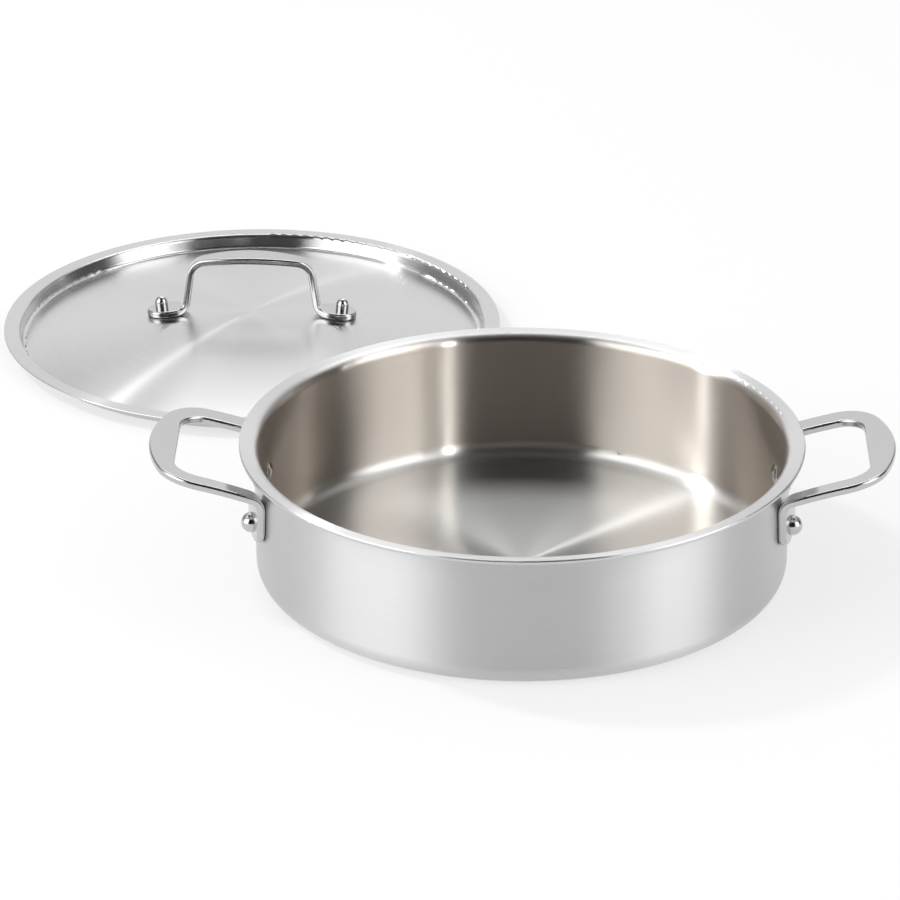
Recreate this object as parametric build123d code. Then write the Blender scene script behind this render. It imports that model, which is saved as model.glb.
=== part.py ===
from build123d import *
import os
from math import asin, cos, degrees, radians, sin, sqrt, tan

# Stainless steel braiser with its lid taken off and laid on the table behind it.
# Millimetres, +Z up, origin on the table under the centre of the pan floor.
# The two side handles lie along X, and the front of the pan is at -Y.

# Pan body, pressed from a three-layer sheet
inside_diameter = 304.8
pan_height = 82.5
inner_ply_thickness = 0.45
core_thickness = 1.35
outer_ply_thickness = 0.5
floor_corner_radius = 9.0
lip_overhang = 11.1
lip_flare_radius = 5.5
lip_climb_angle = 5.0
rim_edge_radius = 0.75

# Side handles, each a bent strap that ends in two riveted feet
strap_thickness = 4.5
strap_edge_radius = 1.4
strap_bend_start = 58.8
strap_bend_radius = 7.0
strap_climb_angle = 19.2
strap_arch_radius = 345.0
handle_projection = 52.1
grip_bow_radius = 97.0
grip_width = 16.1
leg_outer_spread = 52.8
leg_root_width = 12.0
leg_corner_width = 13.3
grip_outer_corner_radius = 27.0
grip_inner_corner_radius = 15.5
foot_bottom = 35.5
foot_top = 57.8
foot_bottom_outer_spread = 50.0
foot_bottom_inner_spread = 22.5
foot_top_inner_spread = 19.5
foot_bottom_corner_radius = 10.5
foot_top_corner_radius = 9.0
foot_neck_radius = 6.0

# Rivets through the pan wall
wall_rivet_spread = 34.0
wall_rivet_height = 44.4
wall_rivet_shank_diameter = 6.0
wall_rivet_head_diameter = 12.0
wall_rivet_head_height = 5.9
wall_rivet_inner_head_diameter = 12.0
wall_rivet_inner_head_height = 2.0
rivet_button_edge = 0.5
rivet_hole_clearance = 0.05

# Lid shell, one pressed sheet with a domed disc, a groove and a flat flange
lid_bearing = 117.2
lid_spacing = 60.4
lid_sheet_thickness = 1.0
lid_flange_inset = 2.5
lid_flange_height = 9.6
lid_dome_radius = 680.0
lid_groove_radius = 3.0
lid_shoulder_radius = 2.0
lid_wall_angle = 78.0
lid_mouth_clearance = 1.0
lid_edge_radius = 0.35

# Lid handle, a bent strap on two riveted feet
lid_handle_turn = -1.2
lid_strap_thickness = 4.4
lid_strap_edge_radius = 1.3
lid_grip_height = 39.6
lid_grip_arch_radius = 174.0
lid_grip_arch_angle = 10.0
lid_grip_bend_radius = 11.3
lid_leg_angle = 82.0
lid_foot_bend_radius = 6.0
lid_grip_half_width = 8.0
lid_leg_half_width = 4.2
lid_leg_spread = 37.0
lid_heel_half_width = 8.2
lid_heel_spread = 47.4
lid_foot_radius = 9.8

# Rivets through the lid
lid_rivet_spread = 58.3
lid_rivet_shank_diameter = 5.0
lid_rivet_head_diameter = 8.2
lid_rivet_head_height = 7.7
lid_rivet_inner_head_diameter = 9.0
lid_rivet_inner_head_height = 1.8

# Pan sizes that follow from the ones above
inside_radius = inside_diameter / 2
wall_thickness = inner_ply_thickness + core_thickness + outer_ply_thickness
wall_outer_radius = inside_radius + wall_thickness
lip_radius = inside_radius + lip_overhang
handle_reach = lip_radius + handle_projection
foot_face_radius = wall_outer_radius + strap_thickness
wall_rivet_turn = degrees(asin(wall_rivet_spread / wall_outer_radius))
cut_margin = 20.0

# Where each rivet of the side handles stands around the pan, from +X
wall_rivet_angles = {
    "right_rear_rivet": wall_rivet_turn,
    "right_front_rivet": -wall_rivet_turn,
    "left_rear_rivet": 180 - wall_rivet_turn,
    "left_front_rivet": 180 + wall_rivet_turn,
}

# Lid sizes that follow, all taken at the middle of its sheet
lid_half_sheet = lid_sheet_thickness / 2
lid_wall_slope = radians(lid_wall_angle)
lid_bend_rise = (lid_groove_radius + lid_shoulder_radius) * (1 - cos(lid_wall_slope))
lid_wall_rise = lid_flange_height - lid_sheet_thickness - lid_bend_rise
lid_wall_length = lid_wall_rise / sin(lid_wall_slope)
lid_shoulder_start = inside_radius - lid_mouth_clearance - lid_half_sheet
lid_groove_end = lid_shoulder_start - lid_wall_length * cos(lid_wall_slope)
lid_groove_centre = lid_groove_end - lid_groove_radius * sin(lid_wall_slope)
lid_dome_angle = asin(lid_groove_centre / (lid_dome_radius + lid_groove_radius))
lid_dome_drop = (lid_dome_radius + lid_groove_radius) * cos(lid_dome_angle)
lid_dome_centre = lid_half_sheet + lid_groove_radius - lid_dome_drop
lid_crown = lid_dome_centre + lid_dome_radius
lid_face_radius = lid_dome_radius + lid_half_sheet
lid_back_radius = lid_dome_radius - lid_half_sheet
lid_rivet_tilt = degrees(asin(lid_rivet_spread / lid_face_radius))
lid_flange_radius = lip_radius - lid_flange_inset

# Where the lid lies on the table, seen from the pan
lid_distance = lip_radius + lid_spacing + lid_flange_radius
lid_centre_x = lid_distance * cos(radians(lid_bearing))
lid_centre_y = lid_distance * sin(radians(lid_bearing))


def pan_surface(depth):
    """Section line of the surface that lies depth mm behind the inside face."""
    climb = radians(lip_climb_angle)
    flare_run = lip_flare_radius * (1 - sin(climb))
    lip_run = lip_radius - inside_radius - flare_run
    flare_start = pan_height - lip_flare_radius * cos(climb) - lip_run * tan(climb)
    floor_height = wall_thickness - depth
    floor_line = Line((0, floor_height), (inside_radius - floor_corner_radius, floor_height))
    corner_arc = JernArc(floor_line @ 1, (1, 0), floor_corner_radius + depth, 90)
    wall_line = Line(corner_arc @ 1, (inside_radius + depth, flare_start))
    flare_arc = JernArc(wall_line @ 1, (0, 1), lip_flare_radius - depth, lip_climb_angle - 90)
    flare_end = flare_arc @ 1
    edge_height = flare_end.Y + (lip_radius - flare_end.X) * tan(climb)
    lip_line = Line(flare_end, (lip_radius, edge_height))
    return [floor_line, corner_arc, wall_line, flare_arc, lip_line]


def pan_section(near_depth, far_depth):
    """Closed section of the pan sheet between two depths."""
    near_side = pan_surface(near_depth)
    far_side = pan_surface(far_depth)
    axis_side = Line(near_side[0] @ 0, far_side[0] @ 0)
    rim_side = Line(near_side[-1] @ 1, far_side[-1] @ 1)
    return make_face(Curve() + near_side + far_side + [axis_side, rim_side])


def pan_ply(near_depth, far_depth):
    """One layer of the sheet, trimmed by the rounded rim, with its rivet holes."""
    whole = pan_section(0, wall_thickness)
    rounded = fillet(whole.vertices().sort_by(Axis.X)[-2:], rim_edge_radius)
    layer = pan_section(near_depth, far_depth) & rounded
    ply = revolve(Plane.XZ * layer, Axis.Z)
    for angle in wall_rivet_angles.values():
        ply -= wall_rivet_hole(angle)
    return ply


def radial_plane(angle):
    """Plane on the pan axis, at rivet height, that faces outward at an angle from +X."""
    direction = (cos(radians(angle)), sin(radians(angle)), 0)
    return Plane(origin=(0, 0, wall_rivet_height), x_dir=(0, 0, 1), z_dir=direction)


def wall_rivet_hole(angle):
    hole_radius = wall_rivet_shank_diameter / 2 + rivet_hole_clearance
    return radial_plane(angle) * extrude(Circle(hole_radius), foot_face_radius + cut_margin)


def turned(outline):
    """Solid turned about Z from a closed outline of radius against height."""
    return revolve(Plane.XZ * make_face(Curve() + outline), Axis.Z)


def rivet_blank(grip, head_radius, head_height, inner_radius, inner_height):
    """Domed head and low inner head back to back, with the inner seat on Z = 0."""
    middle = grip / 2
    top = (0, grip + head_height)
    side = Line((head_radius, middle), (head_radius, grip + head_height - head_radius))
    dome = RadiusArc(side @ 1, top, -head_radius)
    head = turned([side, dome, Polyline(top, (0, middle), side @ 0)])
    crown_height = inner_height - rivet_button_edge
    crown_radius = (inner_radius ** 2 + crown_height ** 2) / (2 * crown_height)
    button_tip = (0, -inner_height)
    button = RadiusArc(button_tip, (inner_radius, -rivet_button_edge), -crown_radius)
    button_side = Line(button @ 1, (inner_radius, middle))
    inner_head = turned([button, button_side, Polyline(button_side @ 1, (0, middle), button_tip)])
    return head + inner_head


def wall_rivet(angle):
    """Rivet of a side handle: head on the foot, shank, and low head inside the pan."""
    blank = rivet_blank(
        wall_thickness + strap_thickness,
        wall_rivet_head_diameter / 2,
        wall_rivet_head_height,
        wall_rivet_inner_head_diameter / 2,
        wall_rivet_inner_head_height,
    )
    shank = extrude(Circle(wall_rivet_shank_diameter / 2), 2 * lip_radius)
    plane = radial_plane(angle)
    tall = 4 * pan_height
    gripped = Cylinder(foot_face_radius, tall) - Cylinder(inside_radius, tall) - plane * shank
    return plane * Pos(0, 0, inside_radius) * blank - gripped


def strap_sheet():
    """Sheet turned about the pan axis from which a side handle's outline is cut."""
    middle_radius = wall_outer_radius + strap_thickness / 2
    foot_line = Line((middle_radius, foot_bottom - cut_margin), (middle_radius, strap_bend_start))
    bend = JernArc(foot_line @ 1, (0, 1), strap_bend_radius, strap_climb_angle - 90)
    run = handle_reach + cut_margin - (bend @ 1).X
    arch = JernArc(bend @ 1, bend % 1, strap_arch_radius, -degrees(run / strap_arch_radius))
    section = trace(Curve() + [foot_line, bend, arch], strap_thickness)
    half_angle = degrees(asin(leg_outer_spread / wall_outer_radius)) + 5
    turned = revolve(Plane.XZ * section, Axis.Z, 2 * half_angle)
    return Rot(0, 0, -half_angle) * turned


def loop_outline():
    """Plan of the handle loop: two legs and a bowed grip around the finger opening."""
    bow_drop = grip_bow_radius - sqrt(grip_bow_radius ** 2 - leg_outer_spread ** 2)
    corner_x = handle_reach - bow_drop
    legs_side = Polyline(
        (corner_x, leg_outer_spread),
        (0, leg_outer_spread),
        (0, -leg_outer_spread),
        (corner_x, -leg_outer_spread),
    )
    grip_side = ThreePointArc(legs_side @ 1, (handle_reach, 0), legs_side @ 0)
    outer = make_face(Curve() + [legs_side, grip_side])
    outer = fillet(outer.vertices().sort_by(Axis.X)[-2:], grip_outer_corner_radius)
    opening_x = handle_reach - grip_width
    root_x = sqrt(wall_outer_radius ** 2 - leg_outer_spread ** 2)
    root_y = leg_outer_spread - leg_root_width
    corner_y = leg_outer_spread - leg_corner_width
    axis_y = root_y + root_x * (root_y - corner_y) / (opening_x - root_x)
    opening = make_face(
        Polyline(
            (0, axis_y),
            (opening_x, corner_y),
            (opening_x, -corner_y),
            (0, -axis_y),
            close=True,
        )
    )
    opening = fillet(opening.vertices().sort_by(Axis.X)[-2:], grip_inner_corner_radius)
    return outer - opening


def foot_outline():
    """Outline of one foot seen along X, a shield that narrows downwards."""
    foot = make_face(
        Polyline(
            (leg_outer_spread, foot_top),
            (foot_bottom_outer_spread, foot_bottom),
            (foot_bottom_inner_spread, foot_bottom),
            (foot_top_inner_spread, foot_top),
            close=True,
        )
    )
    foot = fillet(foot.vertices().sort_by(Axis.Y)[:2], foot_bottom_corner_radius)
    return fillet(foot.vertices().sort_by(Axis.X)[0], foot_top_corner_radius)


def is_neck(edge):
    """True for the short edge in the corner between a leg and the top of its foot."""
    spread = abs(edge.center().Y)
    leg_inner_spread = leg_outer_spread - leg_root_width
    beside_leg = abs(spread - leg_inner_spread) < leg_root_width / 2
    return beside_leg and edge.length < 2 * strap_thickness


def side_handle():
    """Right handle: loop and two feet cut from the turned sheet, edges rounded."""
    sheet = strap_sheet()
    loop_height = pan_height + cut_margin - foot_top
    loop = sheet & Pos(0, 0, foot_top) * extrude(loop_outline(), loop_height)
    rear_foot = sheet & extrude(Plane.YZ * foot_outline(), handle_reach)
    front_foot = mirror(rear_foot, Plane.XZ)
    handle = loop + rear_foot + front_foot
    level_edges = handle.edges().filter_by_position(Axis.Z, foot_top - 0.01, foot_top + 0.01)
    handle = fillet(level_edges.filter_by(is_neck), foot_neck_radius)
    handle = fillet(handle.edges(), strap_edge_radius)
    for angle in (wall_rivet_turn, -wall_rivet_turn):
        handle -= wall_rivet_hole(angle)
    return handle


def lid_shell():
    """Lid pressed from one sheet: dome, groove, wall and flange, with rivet holes."""
    dome = JernArc((0, lid_crown), (1, 0), lid_dome_radius, -degrees(lid_dome_angle))
    groove_turn = degrees(lid_dome_angle) + lid_wall_angle
    groove = JernArc(dome @ 1, dome % 1, lid_groove_radius, groove_turn)
    wall = Line(groove @ 1, groove @ 1 + lid_wall_length * (groove % 1))
    shoulder = JernArc(wall @ 1, wall % 1, lid_shoulder_radius, -lid_wall_angle)
    flange = Line(shoulder @ 1, (lid_flange_radius, (shoulder @ 1).Y))
    section = trace(Curve() + [dome, groove, wall, shoulder, flange], lid_sheet_thickness)
    section = fillet(section.vertices().sort_by(Axis.X)[-2:], lid_edge_radius)
    shell = revolve(Plane.XZ * section, Axis.Z)
    for side in (1, -1):
        shell -= lid_rivet_hole(side)
    return shell


def lid_normal_plane(side):
    """Plane at the centre of the dome's sphere that faces out through a lid rivet."""
    tilt = radians(side * lid_rivet_tilt)
    return Plane(origin=(0, 0, lid_dome_centre), x_dir=(0, 1, 0), z_dir=(sin(tilt), 0, cos(tilt)))


def lid_rivet_hole(side):
    hole_radius = lid_rivet_shank_diameter / 2 + rivet_hole_clearance
    start = lid_back_radius - lid_sheet_thickness
    depth = 3 * lid_sheet_thickness + lid_strap_thickness
    hole = Pos(0, 0, start) * extrude(Circle(hole_radius), depth)
    return lid_normal_plane(side) * hole


def lid_rivet(side):
    """Lid rivet: tall head on the foot, shank, and low head under the dome."""
    grip = lid_sheet_thickness + lid_strap_thickness
    blank = rivet_blank(
        grip,
        lid_rivet_head_diameter / 2,
        lid_rivet_head_height,
        lid_rivet_inner_head_diameter / 2,
        lid_rivet_inner_head_height,
    )
    block = Cylinder(lid_rivet_inner_head_diameter, 2 * grip)
    shank = Cylinder(lid_rivet_shank_diameter / 2, 4 * grip)
    gripped = block - shank - Pos(0, 0, -lid_back_radius) * Sphere(lid_back_radius)
    return lid_normal_plane(side) * Pos(0, 0, lid_back_radius) * (blank - gripped)


def lid_strap_section():
    """Side view of the lid handle: arched grip, bends, legs and feet on the dome."""
    half_strap = lid_strap_thickness / 2
    grip_middle = lid_crown + lid_half_sheet + lid_grip_height - half_strap
    arch = JernArc((0, grip_middle), (1, 0), lid_grip_arch_radius, -lid_grip_arch_angle)
    bend = JernArc(arch @ 1, arch % 1, lid_grip_bend_radius, lid_grip_arch_angle - lid_leg_angle)
    tilt = radians(lid_rivet_tilt)
    seat_radius = lid_face_radius + half_strap
    rivet_point = Vector(seat_radius * sin(tilt), lid_dome_centre + seat_radius * cos(tilt))
    foot_direction = Vector(cos(tilt), -sin(tilt))
    leg_direction = bend % 1
    gap = rivet_point - bend @ 1
    turn = leg_direction.cross(foot_direction).Z
    leg_to_corner = gap.cross(foot_direction).Z / turn
    bend_run = lid_foot_bend_radius * tan(radians(lid_leg_angle - lid_rivet_tilt) / 2)
    leg = Line(bend @ 1, bend @ 1 + (leg_to_corner - bend_run) * leg_direction)
    foot_turn = lid_leg_angle - lid_rivet_tilt
    foot_bend = JernArc(leg @ 1, leg % 1, lid_foot_bend_radius, foot_turn)
    foot = Line(foot_bend @ 1, rivet_point + 2 * lid_foot_radius * foot_direction)
    half_section = trace(Curve() + [arch, bend, leg, foot_bend, foot], lid_strap_thickness)
    return half_section + mirror(half_section, Plane.YZ)


def lid_strap_outline():
    """Plan of the lid handle: wide grip, narrow legs and round feet."""
    grip_edge = ThreePointArc(
        (-lid_leg_spread, lid_leg_half_width),
        (0, lid_grip_half_width),
        (lid_leg_spread, lid_leg_half_width),
    )
    foot_edge = Spline(
        grip_edge @ 1,
        (lid_heel_spread, lid_heel_half_width),
        (lid_rivet_spread, lid_foot_radius),
        tangents=(grip_edge % 1, (1, 0)),
    )
    foot_tip = (lid_rivet_spread + lid_foot_radius, 0)
    tip_edge = RadiusArc(foot_edge @ 1, foot_tip, lid_foot_radius)
    right_side = Curve() + [foot_edge, tip_edge]
    rear_side = Curve() + [grip_edge, right_side, mirror(right_side, Plane.YZ)]
    return make_face(rear_side + mirror(rear_side, Plane.XZ))


def lid_handle():
    """Bail strap of the lid, cut from its side view by its plan, edges rounded."""
    strap = extrude(Plane.XZ * lid_strap_section(), 2 * lid_foot_radius, both=True)
    handle_height = lid_crown + lid_grip_height + cut_margin
    handle = strap & extrude(lid_strap_outline(), handle_height)
    handle = fillet(handle.edges(), lid_strap_edge_radius)
    for side in (1, -1):
        handle -= lid_rivet_hole(side)
    return handle


def write_part(name, shape):
    shape.label = name
    export_step(shape, os.path.join("parts", name + ".step"))


os.makedirs("parts", exist_ok=True)

core_start = inner_ply_thickness
core_end = inner_ply_thickness + core_thickness
write_part("inner_steel_ply", pan_ply(0, core_start))
write_part("aluminium_core", pan_ply(core_start, core_end))
write_part("outer_steel_ply", pan_ply(core_end, wall_thickness))

right_handle = side_handle()
write_part("right_handle", right_handle)
write_part("left_handle", mirror(right_handle, Plane.YZ))
for rivet_name, rivet_angle in wall_rivet_angles.items():
    write_part(rivet_name, wall_rivet(rivet_angle))

lid_place = Pos(lid_centre_x, lid_centre_y, 0) * Rot(0, 0, lid_handle_turn)
write_part("lid_shell", lid_place * lid_shell())
write_part("lid_handle", lid_place * lid_handle())
write_part("lid_right_rivet", lid_place * lid_rivet(1))
write_part("lid_left_rivet", lid_place * lid_rivet(-1))
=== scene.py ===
from math import atan, cos, radians, sin

import bpy
from mathutils import Euler, Matrix, Vector


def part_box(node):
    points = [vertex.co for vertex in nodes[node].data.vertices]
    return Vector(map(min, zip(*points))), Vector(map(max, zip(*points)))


# A stainless steel braiser with its lid off, on a white studio table. Everything is in metres.

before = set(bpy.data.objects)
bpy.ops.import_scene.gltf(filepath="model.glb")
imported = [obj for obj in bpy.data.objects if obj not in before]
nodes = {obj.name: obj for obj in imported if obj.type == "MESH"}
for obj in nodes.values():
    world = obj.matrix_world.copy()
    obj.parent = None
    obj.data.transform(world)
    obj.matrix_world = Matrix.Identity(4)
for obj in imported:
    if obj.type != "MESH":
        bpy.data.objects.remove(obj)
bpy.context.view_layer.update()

scene = bpy.context.scene
scene.view_settings.view_transform = "Standard"


# Camera: a long lens, looking down into the pan from the front

cameraSetup = {
    "frameSize": 900,  # pixels a side
    "lens": 188.0,  # mm
    "sensorWidth": 36.0,  # mm
    "farEnd": 50.0,  # how far the camera sees
    "distance": 2.715,  # from the middle of the pan's rim
    "pitch": 24.4,  # degrees below the horizon
    "roll": 0.3,  # degrees, the picture leans a little clockwise
    "rimPixel": (522.0, 438.0),  # where the middle of the rim falls, from the top left
}


def placeCamera(setup):
    data = bpy.data.cameras.new("camera")
    data.lens = setup["lens"]
    data.sensor_width = setup["sensorWidth"]
    data.dof.use_dof = False
    data.clip_end = setup["farEnd"]
    camera = bpy.data.objects.new("camera", data)
    scene.collection.objects.link(camera)
    scene.camera = camera

    rim = Vector((0, 0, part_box("inner_steel_ply")[1].z))
    pitch = radians(setup["pitch"])
    place = rim + setup["distance"] * Vector((0, -cos(pitch), sin(pitch)))
    middle = setup["frameSize"] / 2
    focalPixels = setup["lens"] / data.sensor_width * setup["frameSize"]
    panLeft = atan((setup["rimPixel"][0] - middle) / focalPixels)
    tiltDown = atan((middle - setup["rimPixel"][1]) / focalPixels)
    look = Euler((radians(90) - pitch, 0, 0)).to_matrix().to_4x4()
    roll = Matrix.Rotation(radians(setup["roll"]), 4, "Z")
    aim = Matrix.Rotation(panLeft, 4, "Y") @ Matrix.Rotation(-tiltDown, 4, "X")
    camera.matrix_world = Matrix.Translation(place) @ look @ roll @ aim


placeCamera(cameraSetup)
print("camera placed")


# Nodes and colours

def toLinear(hexCode):
    channels = [int(hexCode[i:i + 2], 16) / 255 for i in (1, 3, 5)]
    return [c / 12.92 if c <= 0.04045 else ((c + 0.055) / 1.055) ** 2.4 for c in channels] + [1.0]


def addNode(material, kind, settings=None, inputs=None):
    # settings are the node's own options; an input takes a value, or a socket to link from
    tree = material.node_tree
    node = tree.nodes.new(kind)
    for option, value in (settings or {}).items():
        setattr(node, option, value)
    for name, value in (inputs or {}).items():
        if isinstance(value, bpy.types.NodeSocket):
            tree.links.new(value, node.inputs[name])
        else:
            node.inputs[name].default_value = value
    return node


def emptyMaterial(name):
    material = bpy.data.materials.new(name)
    material.use_nodes = True
    material.node_tree.nodes.clear()
    return material


def dress(material, *names):
    # the CAD pieces keep their mesh and only get this finish
    for name in names:
        mesh = nodes[name].data
        mesh.materials.clear()
        mesh.materials.append(material)


# Sheet steel of the pan and the lid

insideSteel = {
    "colour": "#cbcbca",  # 18/10 stainless
    "lineColour": "#c3c3c2",
    "wallReflectionColour": "#c5beb6",  # painted reflection: the wall is painted darker and straw-coloured, as it looks where it mirrors itself again and again
    "wallBottom": 3.0,  # mm, height where the wall's painted reflection colour sets in, and where it is full
    "wallTop": 14.0,
    "lipSheenColour": "#dadada",  # the lip is buffed bright; its brighter colour is a painted sheen
    "lipWidth": 11.1,  # mm, from the wall to the rim
    "lipBlend": (0.6, 3.0),  # mm outside the mouth, where the lip's painted sheen colour sets in, and where it is full
    "roughness": (0.276, 0.29),
    "anisotropy": 1.0,
    "lineSpacing": 0.9,  # mm; the real grit lines are about 0.1 mm, too fine to show
    "lineDepth": 0.001,  # mm
    "arcsAround": 5.0,  # how often a line fades and starts again on its way round
}

outsideSteel = {
    "colour": "#d5d5d5",
    "lineColour": "#cdcdcd",
    "roughness": (0.36, 0.40),
    "anisotropy": 0.9,
    "lineSpacing": 0.7,
    "lineDepth": 0.002,
    "arcsAround": 5.0,
}

lidSteel = {
    "colour": "#d2d2d2",
    "lineColour": "#cacaca",
    "roughness": (0.18, 0.20),
    "anisotropy": 1.0,
    "lineSpacing": 0.9,
    "lineDepth": 0.001,
    "arcsAround": 6.0,
}


# Share of the noise's own range that is stretched over a finish's range of gloss
lineNoise = (0.25, 0.75)
markNoise = (0.3, 0.7)


def glossFrom(material, noise, noiseRange, roughness):
    # roughness that follows the noise from its lower to its upper value
    return addNode(material, "ShaderNodeMapRange", inputs={
        "Value": noise.outputs["Fac"],
        "From Min": noiseRange[0],
        "From Max": noiseRange[1],
        "To Min": roughness[0],
        "To Max": roughness[1],
    })


def timesValue(material, socket, factor):
    product = addNode(material, "ShaderNodeMath", {"operation": "MULTIPLY"}, {0: socket, 1: factor})
    return product.outputs["Value"]


def paintWallReflectionAndLipSheen(steel, look, parts, radius, shade):
    # painted reflection as a darker straw tint up the wall, then the lip's painted sheen outside the
    # mouth
    upWall = addNode(steel, "ShaderNodeMapRange", {"interpolation_type": "SMOOTHSTEP"}, {
        "Value": parts.outputs["Z"],
        "From Min": look["wallBottom"] / 1000,
        "From Max": look["wallTop"] / 1000,
    })
    tinted = addNode(steel, "ShaderNodeMix", {"data_type": "RGBA"}, {
        "Factor": upWall.outputs["Result"],
        6: shade,
        7: toLinear(look["wallReflectionColour"]),
    })
    onLip = addNode(steel, "ShaderNodeMapRange", {"interpolation_type": "SMOOTHSTEP"}, {
        "Value": radius.outputs["Value"],
        "From Min": look["mouthRadius"] + look["lipBlend"][0] / 1000,
        "From Max": look["mouthRadius"] + look["lipBlend"][1] / 1000,
    })
    coloured = addNode(steel, "ShaderNodeMix", {"data_type": "RGBA"}, {
        "Factor": onLip.outputs["Result"],
        6: tinted.outputs[2],
        7: toLinear(look["lipSheenColour"]),
    })
    return coloured.outputs[2]


def turnedSteel(name, look, centre):
    # Stainless sheet brushed while it turns: the fine lines run round the centre, so that
    # lamps show as bright spokes and walls as upright bands.
    steel = emptyMaterial(name)
    place = addNode(steel, "ShaderNodeTexCoord")
    centred = addNode(steel, "ShaderNodeMapping", {"vector_type": "POINT"}, {
        "Vector": place.outputs["Object"],
        "Location": (-centre[0], -centre[1], 0),
    })
    parts = addNode(steel, "ShaderNodeSeparateXYZ", inputs={"Vector": centred.outputs["Vector"]})
    flat = addNode(steel, "ShaderNodeCombineXYZ", inputs={
        "X": parts.outputs["X"],
        "Y": parts.outputs["Y"],
    })
    outward = addNode(steel, "ShaderNodeVectorMath", {"operation": "NORMALIZE"}, {
        0: flat.outputs["Vector"],
    })
    radius = addNode(steel, "ShaderNodeVectorMath", {"operation": "LENGTH"}, {
        0: flat.outputs["Vector"],
    })
    facing = addNode(steel, "ShaderNodeSeparateXYZ", inputs={"Vector": outward.outputs["Vector"]})

    # close steps across the floor and up the wall, and slow ones round the piece, make the noise lines
    linesPerMetre = 1000 / look["lineSpacing"]
    along = addNode(steel, "ShaderNodeCombineXYZ", inputs={
        "X": timesValue(steel, radius.outputs["Value"], linesPerMetre),
        "Y": timesValue(steel, parts.outputs["Z"], linesPerMetre),
        "Z": timesValue(steel, facing.outputs["X"], look["arcsAround"]),
    })
    lines = addNode(steel, "ShaderNodeTexNoise", {"noise_dimensions": "4D"}, {
        "Vector": along.outputs["Vector"],
        "W": timesValue(steel, facing.outputs["Y"], look["arcsAround"]),
        "Scale": 1.0,
        "Detail": 3.0,
        "Roughness": 0.6,
    })

    colour = addNode(steel, "ShaderNodeMix", {"data_type": "RGBA"}, {
        "Factor": lines.outputs["Fac"],
        6: toLinear(look["colour"]),
        7: toLinear(look["lineColour"]),
    })
    roughness = glossFrom(steel, lines, lineNoise, look["roughness"])
    relief = addNode(steel, "ShaderNodeBump", inputs={
        "Height": lines.outputs["Fac"],
        "Strength": 1.0,
        "Distance": look["lineDepth"] / 1000,
    })
    shade = colour.outputs[2]
    # the wall gets a painted reflection tint and the lip a painted sheen
    if "wallReflectionColour" in look:
        shade = paintWallReflectionAndLipSheen(steel, look, parts, radius, shade)
    around = addNode(steel, "ShaderNodeTangent", {"direction_type": "RADIAL", "axis": "Z"})
    surface = addNode(steel, "ShaderNodeBsdfPrincipled", inputs={
        "Base Color": shade,
        "Metallic": 1.0,
        "Roughness": roughness.outputs["Result"],
        "Anisotropic": look["anisotropy"],
        "Anisotropic Rotation": 0.25,  # a quarter turn: highlights stretch across the lines
        "Normal": relief.outputs["Normal"],
        "Tangent": around.outputs["Tangent"],
    })
    addNode(steel, "ShaderNodeOutputMaterial", inputs={"Surface": surface.outputs["BSDF"]})
    return steel


def middleOf(name):
    low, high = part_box(name)
    return (low + high) / 2


panMiddle = middleOf("inner_steel_ply")
lowCorner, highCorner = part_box("inner_steel_ply")
insideSteel["mouthRadius"] = (highCorner.x - lowCorner.x) / 2 - insideSteel["lipWidth"] / 1000
lidMiddle = middleOf("lid_shell")
dress(turnedSteel("brushed stainless, pan inside", insideSteel, panMiddle), "inner_steel_ply")
dress(turnedSteel("satin stainless, pan outside", outsideSteel, panMiddle), "outer_steel_ply")
dress(turnedSteel("brushed stainless, lid", lidSteel, lidMiddle), "lid_shell")
print("sheet steel dressed")


# Core of the sheet, which shows as a thin line round the rim

coreAluminium = {
    "colour": "#d6d7d9",
    "darker": "#c2c3c5",
    "roughness": (0.34, 0.44),
    "grain": 0.6,  # mm, rolled sheet cut on the lathe
}

# Handles and rivets

handleSteel = {
    "colour": "#c7c7c7",
    "darker": "#bdbdbd",
    "roughness": (0.15, 0.22),
    "grain": 1.2,  # mm, soft polishing marks
}

rivetSteel = {
    "colour": "#cbcbcb",
    "darker": "#bebebe",
    "roughness": (0.12, 0.20),
    "grain": 0.8,
}


def polishedMetal(name, look):
    # Smooth metal, with faint soft marks that change its gloss and its shade a little.
    metal = emptyMaterial(name)
    place = addNode(metal, "ShaderNodeTexCoord")
    marks = addNode(metal, "ShaderNodeTexNoise", {"noise_dimensions": "3D"}, {
        "Vector": place.outputs["Object"],
        "Scale": 1000 / look["grain"],
        "Detail": 2.0,
        "Roughness": 0.5,
    })
    colour = addNode(metal, "ShaderNodeMix", {"data_type": "RGBA"}, {
        "Factor": marks.outputs["Fac"],
        6: toLinear(look["colour"]),
        7: toLinear(look["darker"]),
    })
    roughness = glossFrom(metal, marks, markNoise, look["roughness"])
    surface = addNode(metal, "ShaderNodeBsdfPrincipled", inputs={
        "Base Color": colour.outputs[2],
        "Metallic": 1.0,
        "Roughness": roughness.outputs["Result"],
    })
    addNode(metal, "ShaderNodeOutputMaterial", inputs={"Surface": surface.outputs["BSDF"]})
    return metal


dress(polishedMetal("rolled aluminium core", coreAluminium), "aluminium_core")
dress(
    polishedMetal("polished stainless, handles", handleSteel),
    "right_handle", "left_handle", "lid_handle",
)
dress(
    polishedMetal("polished stainless, rivets", rivetSteel),
    "right_rear_rivet", "right_front_rivet", "left_rear_rivet", "left_front_rivet",
    "lid_right_rivet", "lid_left_rivet",
)
print("handles and rivets dressed")


# Studio: white table and surround, lamps for the table, thin lamps that show as streaks in the steel,
# and softboxes between dark cards

tableSetup = {
    "colour": "#f5f5f5",
    "size": 14.0,
    "lift": 0.6,  # share that shows plain white, so that shadows stay faint
}

surroundSetup = {
    "colour": "#ffffff",
    "light": 0.75,  # strength of the surround as a lamp
}

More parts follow.
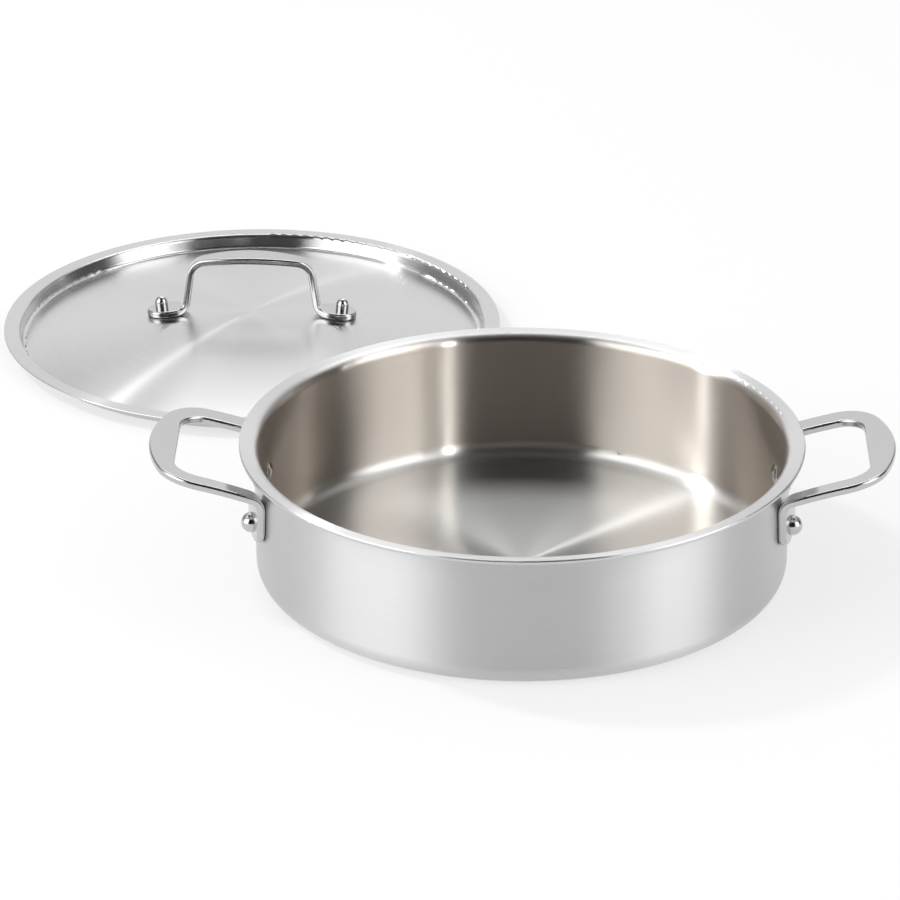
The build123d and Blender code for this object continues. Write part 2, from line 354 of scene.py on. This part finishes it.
lamps = {
    "key strip": {
        "bearing": 157.0,  # degrees from +X towards +Y
        "height": 45.7,  # degrees above the table
        "distance": 3.9,
        "size": (0.24, 0.55),
        "watts": 40.0,
        "tableOnly": True,
    },
    "glint strip": {
        "bearing": 157.0,
        "height": 45.7,
        "distance": 2.4,
        "size": (0.06, 0.06),
        "watts": 20.0,
        "glossOnly": True,
        "onlyOn": ["inner_steel_ply", "lid_shell"],
    },
    "low strip": {
        "bearing": -178.0,
        "height": 17.0,
        "distance": 2.2,
        "size": (0.02, 0.5),
        "watts": 11.0,
        "glossOnly": True,
        "onlyOn": ["inner_steel_ply"],
    },
    "thin strip": {
        "bearing": -56.5,
        "height": 20.0,
        "distance": 2.2,
        "size": (0.02, 0.4),
        "watts": 7.5,
        "glossOnly": True,
        "onlyOn": ["inner_steel_ply"],
    },
    "left lamp": {
        "bearing": -152.0,
        "height": 26.0,
        "distance": 3.2,
        "size": (2.4, 2.0),
        "watts": 32.0,
        "tableOnly": True,
    },
    "right lamp": {
        "bearing": -22.0,
        "height": 26.0,
        "distance": 3.2,
        "size": (1.1, 2.0),
        "watts": 16.0,
        "tableOnly": True,
    },
}

# Panels that only the steel mirrors: glow 1 is white, under it a dark card, over it a lit softbox.
# fade is the share of the half width and half height over which the edges turn clear.
panels = {
    "front_card": {
        "bearing": -88.9,
        "height": 32.0,
        "distance": 2.4,
        "size": (3.32, 3.8),
        "glow": 0.01,
        "fade": (0.14, 0.14),
    },
    "ceiling_card": {
        "bearing": -90.0,
        "height": 89.0,
        "distance": 2.6,
        "size": (3.4, 3.8),
        "glow": 0.12,
        "fade": (0.2, 0.2),
    },
    "right_card": {
        "bearing": 13.0,
        "height": 23.0,
        "distance": 2.6,
        "size": (1.75, 2.7),
        "glow": 0.08,
        "fade": (0.3, 0.3),
    },
    "rear_right_card": {
        "bearing": 47.0,
        "height": 22.0,
        "distance": 2.7,
        "size": (1.75, 2.5),
        "glow": 0.4,
        "fade": (0.4, 0.4),
    },
    "rear_left_card": {
        "bearing": 146.0,
        "height": 19.0,
        "distance": 2.7,
        "size": (2.9, 2.3),
        "glow": 0.38,
        "fade": (0.25, 0.35),
    },
    "left_softbox": {
        "bearing": -153.0,
        "height": 28.0,
        "distance": 2.5,
        "size": (2.7, 3.0),
        "glow": 2.9,
        "fade": (0.5, 0.12),
    },
    "right_softbox": {
        "bearing": -24.0,
        "height": 28.0,
        "distance": 2.5,
        "size": (2.0, 3.0),
        "glow": 3.0,
        "fade": (0.6, 0.12),
    },
    "rear_softbox": {
        "bearing": 89.0,
        "height": 56.0,
        "distance": 2.5,
        "size": (2.0, 0.8),
        "glow": 3.4,
        "fade": (0.3, 0.3),
    },
}


def whiteForLens(material):
    # 1 for rays from the lens, mirrored rays and rays through glass, else 0
    path = addNode(material, "ShaderNodeLightPath")
    cameraOrGloss = addNode(material, "ShaderNodeMath", {"operation": "MAXIMUM"}, {
        0: path.outputs["Is Camera Ray"],
        1: path.outputs["Is Glossy Ray"],
    })
    return addNode(material, "ShaderNodeMath", {"operation": "MAXIMUM"}, {
        0: cameraOrGloss.outputs["Value"],
        1: path.outputs["Is Transmission Ray"],
    })


def placeOnStage(obj, setup):
    # faces the pan from its bearing and height
    bearing, height = radians(setup["bearing"]), radians(setup["height"])
    away = Vector((cos(bearing) * cos(height), sin(bearing) * cos(height), sin(height)))
    obj.location = away * setup["distance"]
    obj.rotation_mode = "QUATERNION"
    obj.rotation_quaternion = away.to_track_quat("Z", "Y")


def makeTable(setup):
    bpy.ops.object.select_all(action="DESELECT")
    bpy.ops.mesh.primitive_plane_add(size=setup["size"], location=(0, 0, 0))
    table = bpy.context.object
    table.name = "table"
    paper = emptyMaterial("white paper sweep")
    shows = whiteForLens(paper)
    lift = addNode(paper, "ShaderNodeMath", {"operation": "MULTIPLY"}, {
        0: shows.outputs["Value"],
        1: setup["lift"],
    })
    sheet = addNode(paper, "ShaderNodeBsdfDiffuse", inputs={"Color": toLinear(setup["colour"])})
    plain = addNode(paper, "ShaderNodeEmission", inputs={"Color": (1, 1, 1, 1), "Strength": 1.0})
    both = addNode(paper, "ShaderNodeMixShader", inputs={
        0: lift.outputs["Value"],
        1: sheet.outputs["BSDF"],
        2: plain.outputs["Emission"],
    })
    addNode(paper, "ShaderNodeOutputMaterial", inputs={"Surface": both.outputs["Shader"]})
    table.data.materials.append(paper)


def makeSurround(setup):
    world = bpy.data.worlds.new("white surround")
    world.use_nodes = True
    world.node_tree.nodes.clear()
    scene.world = world
    shows = whiteForLens(world)
    strength = addNode(world, "ShaderNodeMapRange", inputs={
        "Value": shows.outputs["Value"],
        "To Min": setup["light"],
        "To Max": 1.0,
    })
    sky = addNode(world, "ShaderNodeBackground", inputs={
        "Color": toLinear(setup["colour"]),
        "Strength": strength.outputs["Result"],
    })
    addNode(world, "ShaderNodeOutputWorld", inputs={"Surface": sky.outputs["Background"]})


def makeLamp(name, setup):
    data = bpy.data.lights.new(name, "AREA")
    data.shape = "RECTANGLE"
    data.size, data.size_y = setup["size"]
    data.energy = setup["watts"]
    lamp = bpy.data.objects.new(name, data)
    scene.collection.objects.link(lamp)
    placeOnStage(lamp, setup)
    lamp.visible_camera = False
    lamp.visible_diffuse = not setup.get("glossOnly", False)
    lamp.visible_glossy = not setup.get("tableOnly", False)
    if "onlyOn" in setup:
        receivers = bpy.data.collections.new(name + " lights these")
        for pieceName in setup["onlyOn"]:
            receivers.objects.link(nodes[pieceName])
        lamp.light_linking.receiver_collection = receivers


def makePanel(name, setup):
    bpy.ops.object.select_all(action="DESELECT")
    bpy.ops.mesh.primitive_plane_add(size=2)  # from -1 to 1, which the fade counts on
    panel = bpy.context.object
    panel.name = name
    bpy.ops.transform.resize(value=(setup["size"][0] / 2, setup["size"][1] / 2, 1))
    placeOnStage(panel, setup)

    cloth = emptyMaterial(name.replace("_", " "))
    place = addNode(cloth, "ShaderNodeTexCoord")
    across = addNode(cloth, "ShaderNodeSeparateXYZ", inputs={"Vector": place.outputs["Object"]})
    shares = []
    for side, fade in zip(("X", "Y"), setup["fade"]):
        fromMiddle = addNode(cloth, "ShaderNodeMath", {"operation": "ABSOLUTE"}, {
            0: across.outputs[side],
        })
        share = addNode(cloth, "ShaderNodeMapRange", {"interpolation_type": "SMOOTHSTEP"}, {
            "Value": fromMiddle.outputs["Value"],
            "From Min": 1 - fade,
            "To Min": 1.0,
            "To Max": 0.0,
        })
        shares.append(share.outputs["Result"])
    cover = addNode(cloth, "ShaderNodeMath", {"operation": "MULTIPLY"}, {0: shares[0], 1: shares[1]})
    clear = addNode(cloth, "ShaderNodeBsdfTransparent")
    glow = addNode(cloth, "ShaderNodeEmission", inputs={"Strength": setup["glow"]})
    both = addNode(cloth, "ShaderNodeMixShader", inputs={
        0: cover.outputs["Value"],
        1: clear.outputs["BSDF"],
        2: glow.outputs["Emission"],
    })
    addNode(cloth, "ShaderNodeOutputMaterial", inputs={"Surface": both.outputs["Shader"]})
    panel.data.materials.append(cloth)
    panel.visible_camera = False
    panel.visible_diffuse = False
    panel.visible_shadow = False


makeTable(tableSetup)
makeSurround(surroundSetup)
for lampName, lampSetup in lamps.items():
    makeLamp(lampName, lampSetup)
for panelName, panelSetup in panels.items():
    makePanel(panelName, panelSetup)
print("studio lit")
